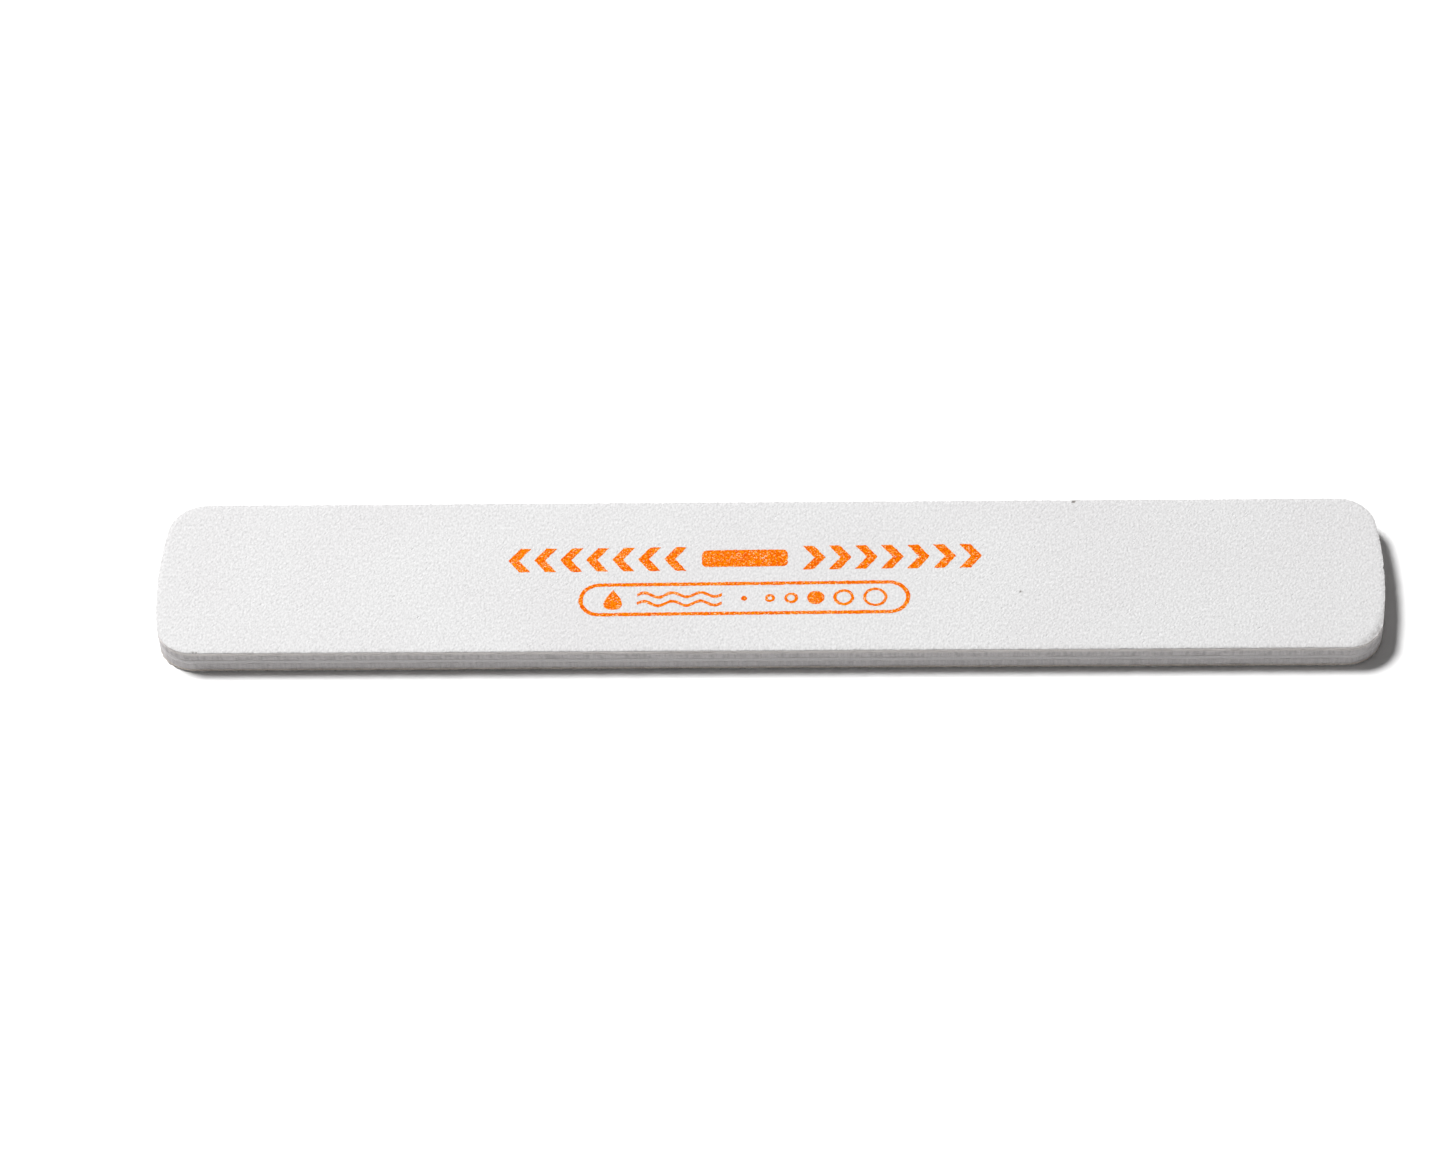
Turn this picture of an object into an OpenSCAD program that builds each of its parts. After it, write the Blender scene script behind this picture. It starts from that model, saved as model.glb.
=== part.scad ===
// Double-sided cushioned sanding stick, lying on its back face.
// A plastic core is glued between two foam cushions, and an abrasive sheet
// is glued over each cushion. The front sheet carries a two-row print.
// Millimetres. Origin: centre of the back face. +X runs along the stick,
// +Y across it, and +Z up through the layers to the front face.

/* [Stick] */
// Length over the bowed ends
stick_l = 178; // [120:1:220]
// Width across the straight long sides
stick_w = 28; // [24:0.5:40]
// Radius of each of the four corners
corner_r = 5.5; // [2:0.5:9]
// How far the middle of an end stands out past its sharp corners
end_bow = 1.6; // [0.6:0.1:3]

/* [Layers] */
// Thickness of the stiff plastic core
core_t = 0.6; // [0.3:0.1:1.5]
// Thickness of each glue film
glue_t = 0.06; // [0.03:0.01:0.12]
// Thickness of each foam cushion
foam_t = 1.22; // [0.6:0.02:3]
// Thickness of the waterproof paper under each grit coat
paper_t = 0.33; // [0.15:0.01:0.5]
// Thickness of each grit coat, up to the tips of its grains
grit_t = 0.28; // [0.12:0.01:0.5]
// Depth to which the print soaks into the front grit coat
ink_t = 0.05; // [0.03:0.01:0.1]

/* [Print] */
// Centre of the print along the stick
print_x = -3.4; // [-8:0.1:8]
// Turn of the print, which is never quite square to the stick
print_turn = 0.4; // [-1.5:0.1:1.5]
// Width of the upper row, from the first chevron's point to the last one's
arrows_w = 69; // [60:1:80]
// Height of the upper row
arrows_h = 4.5; // [3:0.1:6]
// Centre of the upper row across the stick
arrows_y = 3.2; // [3:0.1:6]
// Number of chevrons on each side of the slab in the middle
chevron_count = 7; // [3:1:8]
// Width of the round-ended badge frame
badge_w = 48; // [46:0.5:60]
// Height of the badge frame
badge_h = 6.2; // [5.6:0.1:7]
// Centre of the badge across the stick
badge_y = -4.4; // [-7:0.1:-4]
// Thickness of the badge's printed line
badge_line = 0.62; // [0.3:0.02:0.8]

/* [Hidden] */

// Colours
white_grit = [0.93, 0.93, 0.93];
warm_paper = [0.88, 0.86, 0.84];
pale_foam = [0.82, 0.82, 0.84];
white_plastic = [0.92, 0.93, 0.95];
glue_tan = [0.66, 0.62, 0.55];
orange_ink = [0.99, 0.53, 0.20];

// Ends: an arc through both sharp corners, blended into the sides
end_r = (pow(stick_w / 2, 2) + pow(end_bow, 2)) / (2 * end_bow);
end_cx = stick_l / 2 - end_r;
corner_cy = stick_w / 2 - corner_r;
corner_cx = end_cx + sqrt(pow(end_r - corner_r, 2) - pow(corner_cy, 2));
// Direction from the end arc's centre through the corner arc's centre
blend_x = (corner_cx - end_cx) / (end_r - corner_r);
blend_y = corner_cy / (end_r - corner_r);

// Heights of the layers' undersides, from the back face up
back_paper_z = grit_t;
back_sheet_glue_z = back_paper_z + paper_t;
back_foam_z = back_sheet_glue_z + glue_t;
back_core_glue_z = back_foam_z + foam_t;
core_z = back_core_glue_z + glue_t;
front_core_glue_z = core_z + core_t;
front_foam_z = front_core_glue_z + glue_t;
front_sheet_glue_z = front_foam_z + foam_t;
front_paper_z = front_sheet_glue_z + glue_t;
front_grit_z = front_paper_z + paper_t;
ink_z = front_grit_z + grit_t - ink_t;

// Upper row: a small slab with chevrons pointing away from it on both sides
slab_w = 12.5;
slab_h = 3.2;
slab_corner_r = 0.8;
slab_gap = 2.2;
chevron_line = 1.6;
chevron_point = 1.7;
side_w = (arrows_w - slab_w) / 2 - slab_gap;
chevron_step = (side_w - chevron_line - chevron_point) / (chevron_count - 1);

// Badge: a drop and two waves, a dot, then five grades with one filled in
dot_r = 0.45;
drop_x = -19;
drop_h = 3.8;
drop_bulge = 1.95;
drop_steps = 32;
wave_x = -15.5;
wave_w = 12.3;
wave_count = 3;
wave_rise = 0.42;
wave_line = 0.55;
wave_steps = 36;
wave_gap = 1.6;
grade_count = 5;
grade_r_min = 0.75;
grade_r_step = 0.25;
grade_gap = 1.3;
grade_line = 0.45;
grade_x = 3;
grade_filled = 2;

// The stick's outline, the same for every layer
module stick_outline() {
    square([2 * corner_cx, stick_w], center = true);
    for (turn = [0, 180])
        rotate(turn) {
            for (y = [-corner_cy, corner_cy])
                translate([corner_cx, y]) circle(r = corner_r, $fn = 96);
            end_segment();
        }
}

// The part of the end arc between the two corner arcs
module end_segment() {
    reach = 2 * corner_r;
    intersection() {
        translate([end_cx, 0]) circle(r = end_r, $fn = 720);
        polygon([
            [corner_cx, -corner_cy],
            [corner_cx + reach * blend_x, -corner_cy - reach * blend_y],
            [corner_cx + reach * blend_x, corner_cy + reach * blend_y],
            [corner_cx, corner_cy]
        ]);
    }
}

module layer(z, thickness) {
    translate([0, 0, z]) linear_extrude(thickness) stick_outline();
}

// Moves a flat shape from the print's own centre to its place on the stick
module print_place() {
    translate([print_x, 0]) rotate(print_turn) children();
}

module ink(thickness = ink_t) {
    translate([0, 0, ink_z]) linear_extrude(thickness) print_place() children();
}

module rounded_slab(width, height, radius) {
    square([width, height - 2 * radius], center = true);
    square([width - 2 * radius, height], center = true);
    for (x = [-1, 1], y = [-1, 1])
        translate([x * (width / 2 - radius), y * (height / 2 - radius)])
            circle(r = radius, $fn = 32);
}

module chevron() {
    polygon([
        [0, arrows_h / 2],
        [chevron_line, arrows_h / 2],
        [chevron_line + chevron_point, 0],
        [chevron_line, -arrows_h / 2],
        [0, -arrows_h / 2],
        [chevron_point, 0]
    ]);
}

module stroke_arrows_shape() {
    translate([0, arrows_y]) {
        rounded_slab(slab_w, slab_h, slab_corner_r);
        for (turn = [0, 180], i = [0 : chevron_count - 1])
            rotate(turn) translate([slab_w / 2 + slab_gap + i * chevron_step, 0]) chevron();
    }
}

module pill(width, height) {
    square([width - height, height], center = true);
    for (x = [-1, 1])
        translate([x * (width - height) / 2, 0]) circle(d = height, $fn = 72);
}

module badge_frame_shape() {
    translate([0, badge_y]) {
        difference() {
            pill(badge_w, badge_h);
            pill(badge_w - 2 * badge_line, badge_h - 2 * badge_line);
        }
        circle(r = dot_r, $fn = 32);
    }
}

// A point on a drop's outline, turned by angle from its pointed top
function drop_point(angle) =
    [drop_bulge * sin(angle) * pow(sin(angle / 2), 1.5), drop_h / 2 * cos(angle)];

module drop() {
    polygon([for (i = [0 : drop_steps - 1]) drop_point(360 * i / drop_steps)]);
}

// Height of a wave's middle line, a given share of the way along it
function wave_y(share) = wave_rise * sin(360 * wave_count * share);

function wave_side(offset) =
    [for (i = [0 : wave_steps]) [wave_w * i / wave_steps, wave_y(i / wave_steps) + offset]];

function reversed(points) = [for (i = [len(points) - 1 : -1 : 0]) points[i]];

module wave() {
    polygon(concat(wave_side(wave_line / 2), reversed(wave_side(-wave_line / 2))));
}

module wash_symbol_shape() {
    translate([0, badge_y]) {
        translate([drop_x, 0]) drop();
        for (side = [-1, 1])
            translate([wave_x, side * wave_gap / 2]) wave();
    }
}

function grade_r(i) = grade_r_min + i * grade_r_step;
function grade_cx(i) =
    i == 0 ? grade_x + grade_r(0) : grade_cx(i - 1) + grade_r(i - 1) + grade_gap + grade_r(i);

module grade_symbol_shape() {
    translate([0, badge_y])
        for (i = [0 : grade_count - 1])
            translate([grade_cx(i), 0])
                difference() {
                    circle(r = grade_r(i), $fn = 48);
                    if (i != grade_filled) circle(r = grade_r(i) - grade_line, $fn = 48);
                }
}

module plastic_core() { color(white_plastic) layer(core_z, core_t); }
module front_core_adhesive() { color(glue_tan) layer(front_core_glue_z, glue_t); }
module back_core_adhesive() { color(glue_tan) layer(back_core_glue_z, glue_t); }
module front_foam() { color(pale_foam) layer(front_foam_z, foam_t); }
module back_foam() { color(pale_foam) layer(back_foam_z, foam_t); }
module front_sheet_adhesive() { color(glue_tan) layer(front_sheet_glue_z, glue_t); }
module back_sheet_adhesive() { color(glue_tan) layer(back_sheet_glue_z, glue_t); }
module front_backing_paper() { color(warm_paper) layer(front_paper_z, paper_t); }
module back_backing_paper() { color(warm_paper) layer(back_paper_z, paper_t); }
module back_grit_coat() { color(white_grit) layer(0, grit_t); }

// The print soaks in flush with the grains' tips, so its shapes are pockets here
module front_grit_coat() {
    color(white_grit) difference() {
        layer(front_grit_z, grit_t);
        ink(2 * ink_t) stroke_arrows_shape();
        ink(2 * ink_t) badge_frame_shape();
        ink(2 * ink_t) wash_symbol_shape();
        ink(2 * ink_t) grade_symbol_shape();
    }
}

module printed_stroke_arrows() { color(orange_ink) ink() stroke_arrows_shape(); }
module printed_badge_frame() { color(orange_ink) ink() badge_frame_shape(); }
module printed_wash_symbol() { color(orange_ink) ink() wash_symbol_shape(); }
module printed_grade_symbol() { color(orange_ink) ink() grade_symbol_shape(); }

plastic_core();
front_core_adhesive();
back_core_adhesive();
front_foam();
back_foam();
front_sheet_adhesive();
back_sheet_adhesive();
front_backing_paper();
back_backing_paper();
front_grit_coat();
back_grit_coat();
printed_stroke_arrows();
printed_badge_frame();
printed_wash_symbol();
printed_grade_symbol();
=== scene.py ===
import math

import bpy
import numpy as np
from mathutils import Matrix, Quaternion, Vector
from mathutils.bvhtree import BVHTree


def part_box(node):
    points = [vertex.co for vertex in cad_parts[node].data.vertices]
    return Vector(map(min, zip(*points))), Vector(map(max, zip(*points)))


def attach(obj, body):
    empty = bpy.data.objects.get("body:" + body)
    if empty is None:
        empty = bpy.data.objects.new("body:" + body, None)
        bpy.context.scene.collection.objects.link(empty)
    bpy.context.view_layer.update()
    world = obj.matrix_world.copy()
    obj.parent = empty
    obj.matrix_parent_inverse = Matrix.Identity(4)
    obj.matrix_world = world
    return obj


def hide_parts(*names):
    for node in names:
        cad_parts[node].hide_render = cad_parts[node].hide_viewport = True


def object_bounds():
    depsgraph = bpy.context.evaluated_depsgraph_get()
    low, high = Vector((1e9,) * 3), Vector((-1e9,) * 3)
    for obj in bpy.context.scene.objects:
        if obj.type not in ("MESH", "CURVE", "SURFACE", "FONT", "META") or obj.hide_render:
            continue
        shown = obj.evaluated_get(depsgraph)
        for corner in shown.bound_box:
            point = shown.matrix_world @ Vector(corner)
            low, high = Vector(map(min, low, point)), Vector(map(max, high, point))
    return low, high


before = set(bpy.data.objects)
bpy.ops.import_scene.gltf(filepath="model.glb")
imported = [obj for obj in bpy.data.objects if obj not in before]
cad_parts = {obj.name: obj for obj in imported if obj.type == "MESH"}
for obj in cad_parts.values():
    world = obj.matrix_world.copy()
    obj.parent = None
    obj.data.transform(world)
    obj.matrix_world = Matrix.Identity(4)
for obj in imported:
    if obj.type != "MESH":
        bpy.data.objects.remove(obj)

# The sanding stick: rough abrasive faces, cut foam edges and a print that
# follows the grain. Metres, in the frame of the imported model: the back face
# lies on z = 0, +X runs along the stick and +Z points out of the printed face.

CAD_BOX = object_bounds()
MM = 0.001

# ---------------------------------------------------------------- the outline

HALF_LENGTH = CAD_BOX[1].x
HALF_WIDTH = CAD_BOX[1].y
CORNER_RADIUS = 5.5 * MM
END_BOW = 1.6 * MM

END_RADIUS = (HALF_WIDTH**2 + END_BOW**2) / (2 * END_BOW)
END_CENTRE = HALF_LENGTH - END_RADIUS
CORNER_Y = HALF_WIDTH - CORNER_RADIUS
CORNER_X = END_CENTRE + math.sqrt((END_RADIUS - CORNER_RADIUS) ** 2 - CORNER_Y**2)
BLEND_ANGLE = math.asin(CORNER_Y / (END_RADIUS - CORNER_RADIUS))


def arc(centre, radius, start, stop, step):
    """Points on an arc, without its last one."""
    count = max(2, round(abs(stop - start) * radius / step))
    angles = np.linspace(start, stop, count, endpoint=False)
    return np.stack([centre[0] + radius * np.cos(angles),
                     centre[1] + radius * np.sin(angles)], axis=1)


def outline_loop(step):
    """The stick's outline, anticlockwise from the middle of the right end.

    Point i mirrors point -i in the X axis, so a flat cap is a strip of quads.
    """
    quarter = [
        arc((END_CENTRE, 0), END_RADIUS, 0, BLEND_ANGLE, step),
        arc((CORNER_X, CORNER_Y), CORNER_RADIUS, BLEND_ANGLE, math.pi / 2, step),
    ]
    side_count = round(2 * CORNER_X / step)
    side_x = np.linspace(CORNER_X, -CORNER_X, side_count, endpoint=False)
    side = np.stack([side_x, np.full(side_count, HALF_WIDTH)], axis=1)
    right = np.concatenate(quarter)
    left = right[::-1] * (-1, 1)
    corner_end = [[-CORNER_X, HALF_WIDTH]]
    half = np.concatenate([right, side, corner_end, left])
    return np.concatenate([half, half[-2:0:-1] * (1, -1)])


def loop_normals(loop):
    """Outward normals of an anticlockwise loop of points."""
    along = np.roll(loop, -1, axis=0) - np.roll(loop, 1, axis=0)
    across = np.stack([along[:, 1], -along[:, 0]], axis=1)
    return across / np.linalg.norm(across, axis=1, keepdims=True)


def outline_distance(points):
    """Signed distance to the stick's outline, negative inside it."""
    x, y = np.abs(points[:, 0]), np.abs(points[:, 1])
    to_side = y - HALF_WIDTH
    to_end = np.hypot(x - END_CENTRE, y) - END_RADIUS
    to_corner = np.hypot(x - CORNER_X, y - CORNER_Y) - CORNER_RADIUS
    angle = np.arctan2(y - CORNER_Y, x - CORNER_X)
    by_corner = (angle > BLEND_ANGLE) & (angle < math.pi / 2)
    return np.where(by_corner, to_corner, np.maximum(to_side, to_end))


# ------------------------------------------------------------ seeded noise


def lattice(i, j, k, seed):
    """A repeatable random number from -1 to 1 for each whole-number point."""
    mask = np.uint64(0xFFFFFFFF)
    h = (i * 374761393 + j * 668265263 + k * 2147483629 + seed * 974634777).astype(np.uint64) & mask
    h = ((h ^ (h >> np.uint64(13))) * np.uint64(1274126177)) & mask
    h = ((h ^ (h >> np.uint64(15))) * np.uint64(2246822519)) & mask
    return (h ^ (h >> np.uint64(16))).astype(float) / 0x7FFFFFFF - 1


def noise(points, cell, seed):
    """Smooth noise from -1 to 1 at points (n, 3). cell is its size, or one per axis."""
    scaled = points / np.broadcast_to(np.asarray(cell, float), 3)
    low = np.floor(scaled).astype(np.int64)
    part = scaled - low
    part = part * part * (3 - 2 * part)
    total = np.zeros(len(points))
    for corner in np.ndindex(2, 2, 2):
        weight = np.prod(np.where(corner, part, 1 - part), axis=1)
        i, j, k = (low + corner).T
        total += weight * lattice(i, j, k, seed)
    return total


def flat_noise(points, cell, seed):
    """Smooth noise at points (n, 2)."""
    return noise(np.column_stack([points, np.zeros(len(points))]), cell, seed)


# ------------------------------------------------------------ mesh building


def make_piece(name, vertices, faces, smooth=True):
    mesh = bpy.data.meshes.new(name)
    mesh.from_pydata(vertices.tolist(), [], faces)
    mesh.validate()
    mesh.polygons.foreach_set("use_smooth", [smooth] * len(mesh.polygons))
    mesh.update()
    piece = bpy.data.objects.new(name, mesh)
    bpy.context.scene.collection.objects.link(piece)
    return piece


# How near the edge a grid point has to be to move onto it, in steps of the grid
SNAP_INSIDE = 0.4
SNAP_OUTSIDE = 0.6
SNAP_PASSES = 2

# A short way over which a slope is measured, in steps, and the least squared slope
TINY = 0.02
LEAST_SLOPE = 0.25


def snapped_grid(distance, low, high, step):
    """A grid of quads that fills the region where distance is negative.

    Grid points near the region's edge move onto it, so the edge is clean. Returns
    points (n, 2), anticlockwise faces, and each point's distance before it moved.
    """
    xs = np.arange(low[0] - step, high[0] + 2 * step, step)
    ys = np.arange(low[1] - step, high[1] + 2 * step, step)
    points = np.stack(np.meshgrid(xs, ys, indexing="ij"), axis=-1).reshape(-1, 2)
    d = distance(points)
    near = (d > -SNAP_INSIDE * step) & (d < SNAP_OUTSIDE * step)
    tiny = TINY * step
    for _ in range(SNAP_PASSES):
        at = points[near]
        here = distance(at)
        slope = np.stack([
            (distance(at + (tiny, 0)) - here) / tiny,
            (distance(at + (0, tiny)) - here) / tiny,
        ], axis=1)
        steep = np.maximum((slope**2).sum(axis=1), LEAST_SLOPE)
        points[near] = at - slope * (here / steep)[:, None]
    inside = (d <= 0) | near
    number = np.arange(len(points)).reshape(len(xs), len(ys))
    corners = np.stack([
        number[:-1, :-1], number[1:, :-1], number[1:, 1:], number[:-1, 1:],
    ], axis=-1).reshape(-1, 4)
    held = inside[corners]
    held_count = held.sum(axis=1)
    middle = (points[corners] * held[..., None]).sum(axis=1) / np.maximum(held_count, 1)[:, None]
    kept = (held_count >= 3) & (distance(middle) < -tiny)
    faces = [tuple(int(v) for v, h in zip(c, m) if h)
             for c, m in zip(corners[kept].tolist(), held[kept].tolist())]
    used = np.unique(np.concatenate([np.array(f) for f in faces]))
    renumber = np.full(len(points), -1)
    renumber[used] = np.arange(len(used))
    return points[used], [tuple(renumber[list(f)].tolist()) for f in faces], d[used]


def edge_loops(faces):
    """The boundary of a set of faces, as ordered loops of vertex numbers."""
    edges = {(f[i - 1], f[i]) for f in faces for i in range(len(f))}
    follow = {}
    for a, b in edges:
        if (b, a) not in edges:
            follow.setdefault(a, []).append(b)
    loops = []
    while follow:
        start = next(iter(follow))
        loop, at = [], start
        while at in follow:
            loop.append(at)
            onward = follow[at].pop()
            if not follow[at]:
                del follow[at]
            at = onward
        loops.append(loop)
    return loops


def strip(first, second):
    """Quads between two closed rings of vertex numbers, first above second."""
    count = len(first)
    return [(first[i], second[i], second[(i + 1) % count], first[(i + 1) % count])
            for i in range(count)]


def mirror_cap(start, count, upward):
    """Quads across a symmetric ring from outline_loop()."""
    faces = []
    for i in range(count // 2):
        near, far = (count - i) % count, count - i - 1
        quad = list(dict.fromkeys([start + i, start + i + 1, start + far, start + near]))
        faces.append(tuple(quad if upward else quad[::-1]))
    return faces


# ------------------------------------------------------------ the layers


# The level stored at each vertex: soil and painted shade on grit, glue soaked into foam
SOIL_SHADE_AND_SOAK = "soil_and_shade"

# How far down glue soaks into a layer, as a share of the layer's thickness
SOAK_SHARE = 0.36


def layer_solid(name, node, step, rows, wall, soaked=False):
    """A closed layer with a detailed cut edge.

    wall(points, share) gives how far the edge stands out and is lifted at points
    (n, 3), where share runs from 0 at the layer's underside to 1 at its top. A
    soaked layer has taken up glue from the sheet on its top.
    """
    low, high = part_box(node)
    loop = outline_loop(step)
    normals = loop_normals(loop)
    count = len(loop)
    rings, levels = [], []
    for share in np.linspace(0, 1, rows):
        z = low.z + (high.z - low.z) * share
        flat = np.column_stack([loop, np.full(count, z)])
        out, lift = wall(flat, share)
        rings.append(np.column_stack([loop + normals * out[:, None], z + lift]))
        levels += [soaked * max(0, 1 - (1 - share) / SOAK_SHARE)] * count
    faces = []
    for row in range(rows - 1):
        lower = range(row * count, (row + 1) * count)
        upper = range((row + 1) * count, (row + 2) * count)
        faces += strip(list(upper), list(lower))
    faces += mirror_cap(0, count, upward=False)
    faces += mirror_cap((rows - 1) * count, count, upward=True)
    piece = make_piece(name, np.concatenate(rings), faces)
    paint(piece, SOIL_SHADE_AND_SOAK, np.array(levels))
    return piece


def paint(piece, name, levels):
    """Stores a level from 0 to 1 at each vertex of a piece, for its material."""
    piece.data.attributes.new(name, "FLOAT", "POINT").data.foreach_set("value", levels)


def foam_wall(seed):
    """Cut foam: it swells a little between its glued faces and has open cells."""
    set_back, swollen = 0.01 * MM, 0.04 * MM
    wave_size, wave_height = 4 * MM, 0.05 * MM
    cell_size, cell_depth = 0.28 * MM, 0.045 * MM
    pit_size, pit_depth, pit_threshold = 0.4 * MM, 0.14 * MM, 0.35
    cut_size, cut_depth = (0.35 * MM, 0.35 * MM, 6 * MM), 0.02 * MM

    def wall(points, share):
        swell = swollen * (1 - (2 * share - 1) ** 2) - set_back
        waves = wave_height * noise(points, wave_size, seed)
        cells = cell_depth * noise(points, cell_size, seed + 1)
        pits = pit_depth * np.minimum(noise(points, pit_size, seed + 2) + pit_threshold, 0)
        cuts = cut_depth * noise(points, cut_size, seed + 3)
        between_glued_faces = 0 < share < 1
        return swell + waves + cuts + between_glued_faces * (cells + pits), np.zeros(len(points))
    return wall


def sheet_wall(seed):
    """A stiff sheet's sheared edge, with upright shear marks."""
    rough = 0.02 * MM
    mark_size, grain_size, drift_size = (0.3 * MM, 0.3 * MM, 5 * MM), 0.2 * MM, 3 * MM

    def wall(points, share):
        marks = rough * noise(points, mark_size, seed)
        grain = 0.5 * rough * noise(points, grain_size, seed + 1)
        drift = rough * noise(points, drift_size, seed + 2)
        return marks + grain + drift, np.zeros(len(points))
    return wall


def paper_wall(seed, burr_end):
    """Cut paper: fibres stand out, most of all next to the foam.

    burr_end is 0 or 1, where the foam is under the paper or over it.
    """
    set_back = 0.01 * MM
    fibre_size, fibre_height = 0.25 * MM, 0.035 * MM
    drift_size, drift_height = 2.5 * MM, 0.03 * MM
    burr_size, burr_height, burr_lift = 0.6 * MM, 0.05 * MM, 0.08 * MM

    def wall(points, share):
        fibres = fibre_height * noise(points, fibre_size, seed)
        drift = drift_height * noise(points, drift_size, seed + 1)
        burr = np.maximum(noise(points, burr_size, seed + 2), 0) * (share == burr_end)
        lift = burr_lift * burr * (1 if burr_end else -1)
        return fibres + drift + burr_height * burr - set_back, lift
    return wall


def glue_wall(seed):
    """Glue film: level with the cut, with small beads here and there."""
    bead_size, bead_height = 0.8 * MM, 0.015 * MM

    def wall(points, share):
        return bead_height * noise(points, bead_size, seed), np.zeros(len(points))
    return wall


# ------------------------------------------------------------ abrasive faces

# Distance between grains, and the spread of their heights
GRAIN_STEP = 0.235 * MM
GRAIN_RELIEF = 0.011 * MM

# The deepest that the surface may lie: by its own grain, and with wear
DEEPEST_GRAIN = 0.24 * MM
DEEPEST_WEAR = 0.25 * MM

# Grains missing from the printed face: x, y, radius and depth. Each pit is also painted dark: painted
# shade in its hollow, over the darker resin that it bares.
PITS = [
    (-82.7 * MM, -13.98 * MM, 0.15 * MM, 0.20 * MM),
    (-82.2 * MM, -14.00 * MM, 0.12 * MM, 0.16 * MM),
    (44.6 * MM, 13.80 * MM, 0.21 * MM, 0.24 * MM),
    (36.6 * MM, -3.4 * MM, 0.13 * MM, 0.10 * MM),
    (87.0 * MM, -12.3 * MM, 0.17 * MM, 0.20 * MM),
    (86.2 * MM, -13.1 * MM, 0.15 * MM, 0.16 * MM),
]

# A corner of the printed face that is rubbed down: x, y, reach and depth.
RUBBED = (88.0 * MM, -11.8 * MM, 4.0 * MM, 0.22 * MM)

# How far the coat stands out past the paper under it
OVERHANG = 0.025 * MM

# Each coat's rim: how far it rolls over, how ragged that roll and its outline
# are, how much darker its edge is painted (at the back, painted shade along the
# floor), and how much painted shade its cut side gets
RIMS = {
    "front": {"roll": 0.08 * MM, "teeth": 0.7, "rough": 0.032 * MM, "soil_and_shade": 0.13, "side_shade": 0.0},
    "back": {"roll": 0.12 * MM, "teeth": 1.5, "rough": 0.06 * MM, "soil_and_shade": 0.25, "side_shade": 0.25},
}

# How far in from the rim the roll, the rim's darker paint (painted shade at the back) and a rubbed
# corner's wear reach
ROLL_REACH = 0.7 * MM
DARK_RIM_REACH = 0.3 * MM
RUB_REACH = 1.1 * MM


def near_rim(rim, reach):
    """1 at the rim, falling to 0 at reach inside it. rim is negative inside."""
    return np.clip(1 + rim / reach, 0, 1)


def grain_depth(points, rim, look, seed):
    """How far the abrasive surface lies below the coat's outer level."""
    usual_depth = 0.07 * MM
    clump_size, clump_height = 0.9 * MM, 0.003 * MM
    tip_share, tip_height = 0.015, 0.02 * MM
    pit_share, pit_depth = 0.003, 0.05 * MM
    tooth_size = 0.45 * MM
    rng = np.random.default_rng(seed)
    grains = GRAIN_RELIEF * rng.standard_normal(len(points))
    clumps = clump_height * flat_noise(points, clump_size, seed + 1)
    tips = np.where(rng.random(len(points)) < tip_share, tip_height, 0)
    pits = np.where(rng.random(len(points)) < pit_share, pit_depth, 0)
    teeth = 1 + look["teeth"] * flat_noise(points, tooth_size, seed + 2)
    roll = look["roll"] * teeth * near_rim(rim, ROLL_REACH) ** 2
    return np.clip(usual_depth + grains + clumps + pits - tips + roll, 0, DEEPEST_GRAIN)


def wear(points, rim):
    """How deep the printed face is worn, and how dark it is painted there, from 0 to 1: painted shade in
    the pits, soil where a corner is rubbed.
    """
    patch_size, patch_seed, patch_level, patch_contrast = 0.5 * MM, 9, 0.55, 0.6
    rubbed_soil = 0.7
    depth, soil_and_shade = np.zeros(len(points)), np.zeros(len(points))
    for x, y, radius, deep in PITS:
        pit = np.exp(-((points[:, 0] - x) ** 2 + (points[:, 1] - y) ** 2) / radius**2)
        depth += deep * pit
        # Painted shade in the pit's hollow, over the darker resin that it bares
        soil_and_shade = np.maximum(soil_and_shade, np.clip(2 * pit, 0, 1))
    x, y, reach, deep = RUBBED
    near = np.clip(1 - np.hypot(points[:, 0] - x, points[:, 1] - y) / reach, 0, 1)
    rubbed = np.sqrt(near) * near_rim(rim, RUB_REACH)
    patches = np.clip(patch_level + patch_contrast * flat_noise(points, patch_size, patch_seed), 0, 1)
    return depth + deep * rubbed, np.maximum(soil_and_shade, rubbed_soil * rubbed * patches)


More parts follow.
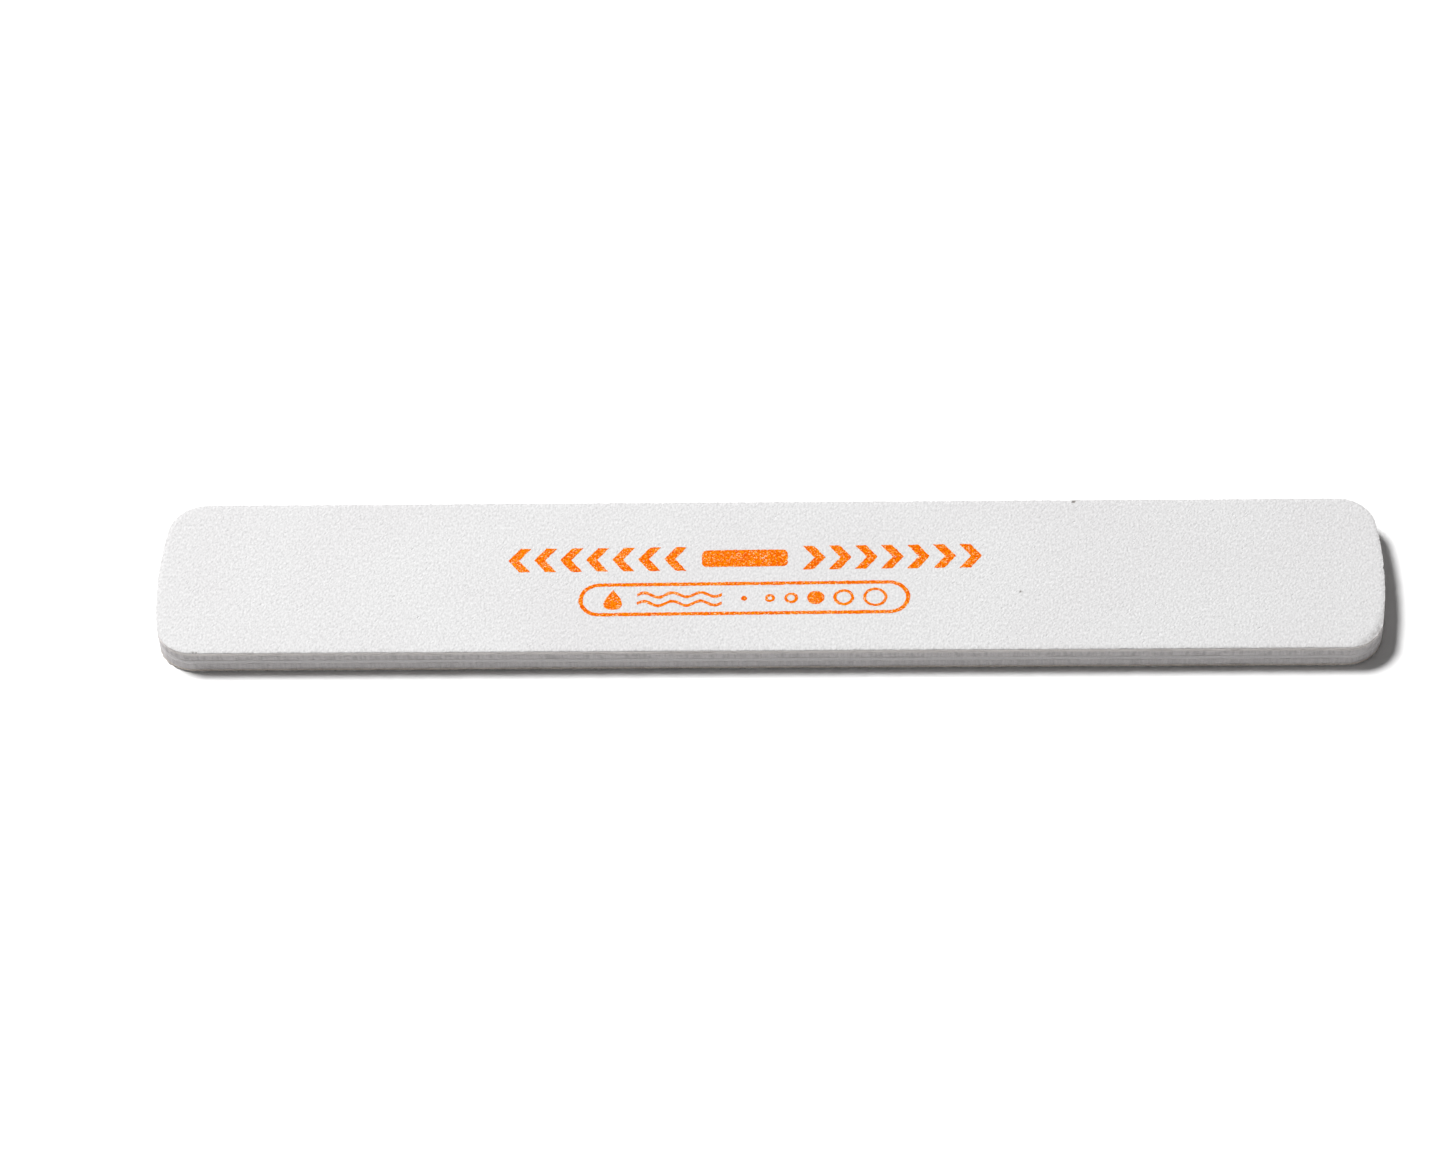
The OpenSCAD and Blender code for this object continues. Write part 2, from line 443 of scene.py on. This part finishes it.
def grit_solid(name, node, seed, outward, look):
    """An abrasive coat. outward is 1 where its grain faces up, -1 where it faces down.

    look is its entry in RIMS.
    """
    fine_size, fine_share = 0.32 * MM, 1.3
    slow_size, slow_share = 3 * MM, 0.3
    jitter = 0.3
    side_size, side_height = 0.3 * MM, 0.04 * MM
    low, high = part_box(node)
    face_z, inner_z = (high.z, low.z) if outward > 0 else (low.z, high.z)

    def ragged(points):
        fine = fine_share * flat_noise(points, fine_size, seed)
        slow = slow_share * flat_noise(points, slow_size, seed + 3)
        return outline_distance(points) - look["rough"] * (fine + slow) - OVERHANG

    points, faces, rim = snapped_grid(ragged, low.xy, high.xy, GRAIN_STEP)
    rng = np.random.default_rng(seed + 4)
    loose = rim < -2 * GRAIN_STEP
    points[loose] += rng.uniform(-jitter, jitter, (loose.sum(), 2)) * GRAIN_STEP
    depth = grain_depth(points, rim, look, seed + 5)
    # Darker towards the rim; at the back this is painted shade where the rim meets the floor
    soil_and_shade = look["soil_and_shade"] * near_rim(rim, DARK_RIM_REACH)
    if outward > 0:
        # The printed face also gets painted shade in its pits, and soil where a corner is rubbed
        worn, pit_shade_and_wear = wear(points, rim)
        depth = np.minimum(depth + worn, DEEPEST_WEAR)
        soil_and_shade = np.maximum(soil_and_shade, pit_shade_and_wear)
    top = np.column_stack([points, face_z - outward * depth])
    loop = max(edge_loops(faces), key=len)
    shell = [top]
    rings = [loop]
    rim_points = top[loop]
    away = loop_normals(points[loop])
    for share in (0.5, 1.0):
        z = rim_points[:, 2] + (inner_z - rim_points[:, 2]) * share
        ring = np.column_stack([rim_points[:, :2], z])
        out = side_height * noise(ring, side_size, seed + 7) * (share < 1)
        first = sum(map(len, shell))
        rings.append(list(range(first, first + len(loop))))
        shell.append(np.column_stack([ring[:, :2] + away * out[:, None], z]))
    for upper, lower in zip(rings, rings[1:]):
        faces += strip(upper, lower)
    faces.append(tuple(rings[-1][::-1]))
    if outward < 0:
        faces = [f[::-1] for f in faces]
    piece = make_piece(name, np.concatenate(shell), faces, smooth=False)
    # The cut side's level is painted shade; only the back, which meets the floor, gets any
    levels = np.full(len(piece.data.vertices), look["side_shade"])
    levels[:len(soil_and_shade)] = soil_and_shade
    paint(piece, SOIL_SHADE_AND_SOAK, levels)
    return piece


# ------------------------------------------------------------ the print

INK_STEP = 0.13 * MM

# How far the ink stands over the grain, how uneven that is, and how deep it reaches
INK_LIFT = 0.016 * MM
INK_UNEVEN = 0.006 * MM
INK_DEPTH = 0.05 * MM

# Points whose distance to an outline is worked out at one time
BATCH = 20000

# Points that are merged, because they are the same corner of the CAD mesh
SAME_POINT = 0.001 * MM


def printed_edges(node):
    """The outline of a CAD print node's top face, as pairs of points."""
    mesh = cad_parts[node].data
    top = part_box(node)[1].z
    points = np.array([v.co for v in mesh.vertices])
    key = np.round(points[:, :2] / SAME_POINT).astype(int)
    number = {}
    merged = [number.setdefault(tuple(k), len(number)) for k in key.tolist()]
    place = {merged[i]: points[i, :2] for i in range(len(points))}
    edges = set()
    for face in mesh.polygons:
        if all(abs(points[v][2] - top) < SAME_POINT for v in face.vertices):
            ring = [merged[v] for v in face.vertices]
            edges |= {(ring[i - 1], ring[i]) for i in range(len(ring))}
    rim = [(a, b) for a, b in edges if (b, a) not in edges]
    return np.array([[place[a], place[b]] for a, b in rim])


def segment_distance(points, segments):
    """Signed distance to closed outlines given as segments, negative inside them."""
    start, stop = segments[:, 0], segments[:, 1]
    along = stop - start
    result = np.empty(len(points))
    for first in range(0, len(points), BATCH):
        p = points[first:first + BATCH, None]
        share = np.clip(((p - start) * along).sum(-1) / (along**2).sum(-1), 0, 1)
        gap = np.linalg.norm(p - start - share[..., None] * along, axis=-1).min(axis=1)
        rises = (start[:, 1] > p[..., 1]) != (stop[:, 1] > p[..., 1])
        height = np.where(along[:, 1] == 0, 1, along[:, 1])
        crossing = start[:, 0] + (p[..., 1] - start[:, 1]) * along[:, 0] / height
        odd = (rises & (p[..., 0] < crossing)).sum(axis=1) % 2 == 1
        result[first:first + BATCH] = np.where(odd, -gap, gap)
    return result


def ink_film(name, node, ground, seed):
    """Ink on the grain: a thin film with ragged edges that follows the surface."""
    fine_size, fine_height = 0.22 * MM, 0.05 * MM
    slow_size, slow_height = 0.6 * MM, 0.03 * MM
    lift_size = 0.3 * MM
    segments = printed_edges(node)

    def ragged(points):
        fine = fine_height * flat_noise(points, fine_size, seed)
        slow = slow_height * flat_noise(points, slow_size, seed + 1)
        return segment_distance(points, segments) - (fine + slow)

    low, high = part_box(node)
    points, faces, _ = snapped_grid(ragged, low.xy, high.xy, INK_STEP)
    down = Vector((0, 0, -1))
    surface = np.array([ground.ray_cast(Vector((x, y, 1)), down)[0].z for x, y in points])
    wet = INK_LIFT + INK_UNEVEN * flat_noise(points, lift_size, seed + 2)
    top = np.column_stack([points, surface + wet])
    bottom = np.column_stack([points, surface - INK_DEPTH])
    count = len(points)
    sides = [q for loop in edge_loops(faces) for q in strip(loop, [v + count for v in loop])]
    under = [tuple(v + count for v in f[::-1]) for f in faces]
    return make_piece(name, np.concatenate([top, bottom]), faces + sides + under, smooth=False)


# ------------------------------------------------------------ materials


PER_MM = 1 / MM
WHITE = (1.0, 1.0, 1.0, 1.0)


class Shader:
    """A short way to write a node material. Its textures are scaled per millimetre."""

    def __init__(self, name, scale=PER_MM):
        self.material = bpy.data.materials.new(name)
        self.material.use_nodes = True
        self.tree = self.material.node_tree
        self.surface = self.tree.nodes["Principled BSDF"]
        coordinates = self.tree.nodes.new("ShaderNodeTexCoord")
        self.place = self.tree.nodes.new("ShaderNodeMapping")
        self.place.inputs["Scale"].default_value = (scale,) * 3
        self.tree.links.new(coordinates.outputs["Object"], self.place.inputs["Vector"])

    def link(self, output, socket):
        self.tree.links.new(output, socket)

    def stretched(self, scale):
        """The same coordinates, scaled along each axis."""
        node = self.tree.nodes.new("ShaderNodeMapping")
        node.inputs["Scale"].default_value = scale
        self.link(self.place.outputs[0], node.inputs["Vector"])
        return node.outputs[0]

    def noise(self, scale, detail=2.0, rough=0.5, at=None):
        node = self.tree.nodes.new("ShaderNodeTexNoise")
        node.inputs["Scale"].default_value = scale
        node.inputs["Detail"].default_value = detail
        node.inputs["Roughness"].default_value = rough
        self.link(at or self.place.outputs[0], node.inputs["Vector"])
        return node.outputs["Fac"]

    def cells(self, scale):
        node = self.tree.nodes.new("ShaderNodeTexVoronoi")
        node.inputs["Scale"].default_value = scale
        self.link(self.place.outputs[0], node.inputs["Vector"])
        return node

    def grains(self, scale):
        """A random level from 0 to 1 for each small cell."""
        split = self.tree.nodes.new("ShaderNodeSeparateColor")
        self.link(self.cells(scale).outputs["Color"], split.inputs[0])
        return split.outputs[0]

    def painted(self, name):
        """A level that is stored with the mesh."""
        node = self.tree.nodes.new("ShaderNodeAttribute")
        node.attribute_name = name
        return node.outputs["Fac"]

    def ramp(self, value, stops):
        """Maps a value to grey levels or colours: stops are (position, colour)."""
        node = self.tree.nodes.new("ShaderNodeValToRGB")
        elements = node.color_ramp.elements
        while len(elements) < len(stops):
            elements.new(0.5)
        for element, (position, colour) in zip(elements, stops):
            element.position = position
            element.color = colour if isinstance(colour, tuple) else (colour,) * 3 + (1,)
        self.link(value, node.inputs["Fac"])
        return node.outputs["Color"]

    def mix(self, share, first, second, blend="MIX"):
        node = self.tree.nodes.new("ShaderNodeMix")
        node.data_type = "RGBA"
        node.blend_type = blend
        for socket, value in ((node.inputs[0], share), (node.inputs[6], first), (node.inputs[7], second)):
            if isinstance(value, bpy.types.NodeSocket):
                self.link(value, socket)
            else:
                socket.default_value = value
        return node.outputs[2]

    def bump(self, height, distance, strength):
        node = self.tree.nodes.new("ShaderNodeBump")
        node.inputs["Strength"].default_value = strength
        node.inputs["Distance"].default_value = distance
        self.link(height, node.inputs["Height"])
        return node.outputs["Normal"]

    def finish(self, colour, roughness, normal, specular):
        self.link(colour, self.surface.inputs["Base Color"])
        self.link(roughness, self.surface.inputs["Roughness"])
        self.link(normal, self.surface.inputs["Normal"])
        self.surface.inputs["Specular IOR Level"].default_value = specular
        return self.material


def tint(red, green, blue):
    return (red, green, blue, 1.0)


def grit_material():
    """White grain: a fine mottle, a slow drift, grey specks, and a dark colour where the mesh stores a
    level, for soil and for painted shade.
    """
    dark, light = tint(0.575, 0.574, 0.576), tint(0.755, 0.754, 0.756)
    # The dark colour that ends this line stands for both soil and painted shade
    drift, speck, soil_and_shade = tint(0.975, 0.967, 0.970), tint(0.56, 0.56, 0.56), tint(0.15, 0.13, 0.112)
    s = Shader("white_abrasive_grit")
    grains = s.noise(1.0, 1.0, 0.5, s.stretched((3.6, 2.1, 3.6)))
    tone = s.ramp(grains, [(0.25, dark), (0.75, light)])
    spread = s.ramp(s.noise(0.05, 3.0), [(0.35, drift), (0.65, WHITE)])
    colour = s.mix(1.0, tone, spread, "MULTIPLY")
    specks = s.ramp(s.noise(3.3, 0.0), [(0.16, 1.0), (0.22, 0.0)])
    colour = s.mix(specks, colour, speck)
    # Mixed in by the stored level: painted shade in pits, at the back rim and on the back's cut side,
    # soil at a rubbed corner, and a darker front rim
    colour = s.mix(s.painted(SOIL_SHADE_AND_SOAK), colour, soil_and_shade)
    roughness = s.ramp(s.noise(3.0), [(0.3, 0.75), (0.7, 0.95)])
    normal = s.bump(s.noise(5.5, 1.0), 0.03 * MM, 1.0)
    return s.finish(colour, roughness, normal, specular=0.25)


def foam_material(name, smudge):
    """Cut foam. smudge is how bright its upright smudges are, from 0 for black to 1 for none."""
    dark, light, soaked = tint(0.47, 0.452, 0.455), tint(0.57, 0.548, 0.551), tint(0.70, 0.665, 0.645)
    s = Shader(name)
    upright = s.stretched((3.0, 3.0, 0.25))
    tone = s.ramp(s.noise(1.0, 3.0, 0.6, upright), [(0.3, dark), (0.7, light)])
    smudges = s.noise(1.0, 2.0, 0.5, s.stretched((1.7, 1.7, 0.6)))
    blotches = s.ramp(smudges, [(0.36, tint(smudge, smudge, smudge)), (0.55, WHITE)])
    colour = s.mix(1.0, tone, blotches, "MULTIPLY")
    # Each open cell is darker at its middle: painted shade in the pores
    cell = s.cells(4.0)
    pore_shade = s.ramp(cell.outputs["Distance"], [(0.0, tint(0.75, 0.75, 0.75)), (0.3, WHITE)])
    colour = s.mix(1.0, colour, pore_shade, "MULTIPLY")
    colour = s.mix(s.painted(SOIL_SHADE_AND_SOAK), colour, soaked)
    roughness = s.ramp(s.noise(2.0), [(0.3, 0.8), (0.7, 0.95)])
    return s.finish(colour, roughness, s.bump(cell.outputs["Distance"], 0.05 * MM, 0.6), specular=0.25)


def paper_material(name, dark, light):
    """Cut paper: upright fibres between a dark and a light colour."""
    s = Shader(name)
    upright = s.stretched((5.0, 5.0, 1.0))
    fibres = s.noise(1.0, 4.0, 0.65, upright)
    colour = s.ramp(fibres, [(0.3, dark), (0.7, light)])
    roughness = s.ramp(s.noise(3.0), [(0.3, 0.8), (0.7, 0.95)])
    return s.finish(colour, roughness, s.bump(fibres, 0.04 * MM, 0.7), specular=0.2)


def core_material():
    """A sheared plastic edge, with long upright marks."""
    dark, light = tint(0.47, 0.455, 0.46), tint(0.54, 0.523, 0.528)
    s = Shader("core_plastic")
    upright = s.stretched((4.0, 4.0, 0.2))
    marks = s.noise(1.0, 3.0, 0.6, upright)
    colour = s.ramp(marks, [(0.3, dark), (0.7, light)])
    roughness = s.ramp(marks, [(0.3, 0.4), (0.7, 0.6)])
    return s.finish(colour, roughness, s.bump(marks, 0.03 * MM, 0.6), specular=0.45)


def glue_material():
    """A pale glue film, shinier where it is darker."""
    dark, light = tint(0.66, 0.635, 0.615), tint(0.78, 0.75, 0.73)
    s = Shader("adhesive_film")
    smears = s.noise(1.5, 3.0)
    colour = s.ramp(smears, [(0.35, dark), (0.65, light)])
    roughness = s.ramp(smears, [(0.3, 0.35), (0.7, 0.7)])
    return s.finish(colour, roughness, s.bump(smears, 0.03 * MM, 0.5), specular=0.4)


def ink_material():
    """Orange ink on grain: each small cell takes more or less of it."""
    thick, usual = tint(0.69, 0.06, 0.0), tint(0.79, 0.15, 0.0)
    thin, bare = tint(0.84, 0.27, 0.0), tint(0.88, 0.58, 0.32)
    s = Shader("orange_ink")
    colour = s.ramp(s.grains(7.0), [(0.0, thick), (0.5, usual), (0.86, thin), (1.0, bare)])
    roughness = s.ramp(s.noise(3.0), [(0.3, 0.7), (0.7, 0.95)])
    grain = s.cells(5.0)
    return s.finish(colour, roughness, s.bump(grain.outputs["Distance"], 0.03 * MM, 0.5), specular=0.03)


# ------------------------------------------------------------ assembling


def dress(piece, node, material):
    """Gives a piece its material, and the place of a CAD node."""
    piece.data.materials.append(material)
    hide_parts(node)
    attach(piece, "root")


GRIT = grit_material()
FOAM = foam_material("cushion_foam", 0.78)
# The back foam's smudges are fainter, so it is lighter: painted light on the lower foam, next to the
# floor
PAINTED_LIGHT_FOAM = foam_material("painted_light_cushion_foam", 0.90)
PAPER = paper_material("backing_paper", tint(0.585, 0.553, 0.538), tint(0.705, 0.67, 0.652))
# The back paper is darker and browner: painted shade, where the stick's bottom edge meets the floor
SHADED_PAPER = paper_material("shaded_backing_paper", tint(0.48, 0.42, 0.37), tint(0.64, 0.575, 0.52))
CORE, GLUE, INK = core_material(), glue_material(), ink_material()

# The distance between points along a layer's cut edge, and how many rows it has
LAYER_STEP = 0.25 * MM
FOAM_ROWS = 11
CORE_ROWS = 5
FILM_ROWS = 3

# Seeds of the noise. Each side's layers add their own to the side's.
SIDE_SEEDS = {"front": 100, "back": 200}
PAPER_SEED = 20
FOAM_SEED = 30
GLUE_SEEDS = {"sheet": 45, "core": 44}
CORE_SEED = 300
INK_SEED = 400
INK_SEED_STEP = 10


def make_side(side, outward, paper_look, foam_look):
    """The grit, paper, foam and glue of one side. outward is 1 for the front, -1 for the back."""
    seed = SIDE_SEEDS[side]
    is_front = outward > 0
    grit = grit_solid(f"{side}_abrasive_face", f"{side}_grit_coat", seed, outward, RIMS[side])
    dress(grit, f"{side}_grit_coat", GRIT)
    paper = layer_solid(f"{side}_paper_sheet", f"{side}_backing_paper", LAYER_STEP, FILM_ROWS,
                        paper_wall(seed + PAPER_SEED, 0 if is_front else 1))
    dress(paper, f"{side}_backing_paper", paper_look)
    foam = layer_solid(f"{side}_cushion", f"{side}_foam", LAYER_STEP, FOAM_ROWS,
                       foam_wall(seed + FOAM_SEED), soaked=is_front)
    dress(foam, f"{side}_foam", foam_look)
    for place, glue_seed in GLUE_SEEDS.items():
        film = layer_solid(f"{side}_{place}_glue_film", f"{side}_{place}_adhesive", LAYER_STEP,
                           FILM_ROWS, glue_wall(seed + glue_seed))
        dress(film, f"{side}_{place}_adhesive", GLUE)


make_side("front", 1, PAPER, FOAM)
# The back side gets the paper with painted shade and the foam with painted light
make_side("back", -1, SHADED_PAPER, PAINTED_LIGHT_FOAM)
core = layer_solid("core_sheet", "plastic_core", LAYER_STEP, CORE_ROWS, sheet_wall(CORE_SEED))
dress(core, "plastic_core", CORE)

printed_face = bpy.data.objects["front_abrasive_face"]
ground = BVHTree.FromPolygons([v.co for v in printed_face.data.vertices],
                              [p.vertices for p in printed_face.data.polygons])
for number, symbol in enumerate(("stroke_arrows", "badge_frame", "wash_symbol", "grade_symbol")):
    film = ink_film(f"ink_{symbol}", f"printed_{symbol}", ground, INK_SEED + INK_SEED_STEP * number)
    dress(film, f"printed_{symbol}", INK)

# ------------------------------------------------------------ studio

FLOOR_SIZE = 8.0

# Grey levels of the floor's faint mottle
FLOOR_DARK = 0.93
FLOOR_LIGHT = 0.9393

# The world is bright near the horizon and dim above it: heights and colours
HORIZON_TOP = 0.08
HORIZON_COLOUR = (0.95, 0.95, 0.95, 1)
SKY_BOTTOM = 0.20
SKY_COLOUR = (0.10, 0.098, 0.097, 1)

# The key light: the direction it comes from, its distance, width and power
KEY_TOWARD = (-0.55, 0.28, 1.0)
KEY_DISTANCE = 2.05
KEY_SIZE = 0.63
KEY_POWER = 56.5

# The camera: degrees round the stick, above it and tilted, where it looks on the
# printed face, how far off it is, and its lens in millimetres on a 36 mm sensor
CAMERA_AZIMUTH = 3.83
CAMERA_ELEVATION = 49.82
CAMERA_ROLL = -3.26
CAMERA_AIM = (-6.58 * MM, -0.59 * MM)
CAMERA_DISTANCE = 723.7 * MM
CAMERA_LENS = 124.29
CAMERA_SENSOR = 36
CAMERA_CLIP = (0.01, 20)


def make_floor():
    """A plain pale floor at the height that the stick lies on."""
    h = FLOOR_SIZE / 2
    corners = np.array([(-h, -h, 0), (h, -h, 0), (h, h, 0), (-h, h, 0)])
    floor = make_piece("floor", corners, [(0, 1, 2, 3)])
    s = Shader("pale_floor", scale=1.0)
    tone = s.ramp(s.noise(2.0), [(0.3, FLOOR_DARK), (0.7, FLOOR_LIGHT)])
    s.link(tone, s.surface.inputs["Base Color"])
    s.surface.inputs["Roughness"].default_value = 0.9
    s.surface.inputs["Specular IOR Level"].default_value = 0.1
    floor.data.materials.append(s.material)


def make_key_light():
    """A round white light that faces the stick."""
    light = bpy.data.lights.new("key", "AREA")
    light.shape = "DISK"
    light.size = KEY_SIZE
    light.energy = KEY_POWER
    lamp = bpy.data.objects.new("key", light)
    lamp.location = Vector(KEY_TOWARD).normalized() * KEY_DISTANCE
    lamp.rotation_mode = "QUATERNION"
    lamp.rotation_quaternion = (-lamp.location).to_track_quat("-Z", "Y")
    bpy.context.scene.collection.objects.link(lamp)


def make_world():
    """Soft light from all round, brightest near the horizon."""
    world = bpy.data.worlds.new("studio")
    world.use_nodes = True
    tree = world.node_tree
    background = tree.nodes["Background"]
    direction = tree.nodes.new("ShaderNodeTexCoord")
    split = tree.nodes.new("ShaderNodeSeparateXYZ")
    ramp = tree.nodes.new("ShaderNodeValToRGB")
    horizon, sky = ramp.color_ramp.elements
    horizon.position = HORIZON_TOP
    horizon.color = HORIZON_COLOUR
    sky.position = SKY_BOTTOM
    sky.color = SKY_COLOUR
    tree.links.new(direction.outputs["Generated"], split.inputs[0])
    tree.links.new(split.outputs["Z"], ramp.inputs["Fac"])
    tree.links.new(ramp.outputs["Color"], background.inputs["Color"])
    bpy.context.scene.world = world


def make_camera():
    """The camera, above the front long side and turned a little round it."""
    azimuth, elevation = math.radians(CAMERA_AZIMUTH), math.radians(CAMERA_ELEVATION)
    aim = Vector((*CAMERA_AIM, CAD_BOX[1].z))
    lens = bpy.data.cameras.new("camera")
    lens.sensor_width = CAMERA_SENSOR
    lens.lens = CAMERA_LENS
    lens.clip_start, lens.clip_end = CAMERA_CLIP
    back = Vector((math.sin(azimuth) * math.cos(elevation),
                   -math.cos(azimuth) * math.cos(elevation), math.sin(elevation)))
    camera = bpy.data.objects.new("camera", lens)
    camera.location = aim + back * CAMERA_DISTANCE
    camera.rotation_mode = "QUATERNION"
    roll = Quaternion((0, 0, 1), math.radians(CAMERA_ROLL))
    camera.rotation_quaternion = (-back).to_track_quat("-Z", "Y") @ roll
    bpy.context.scene.collection.objects.link(camera)
    bpy.context.scene.camera = camera


make_floor()
make_world()
make_camera()
make_key_light()
bpy.context.scene.view_settings.view_transform = "Standard"
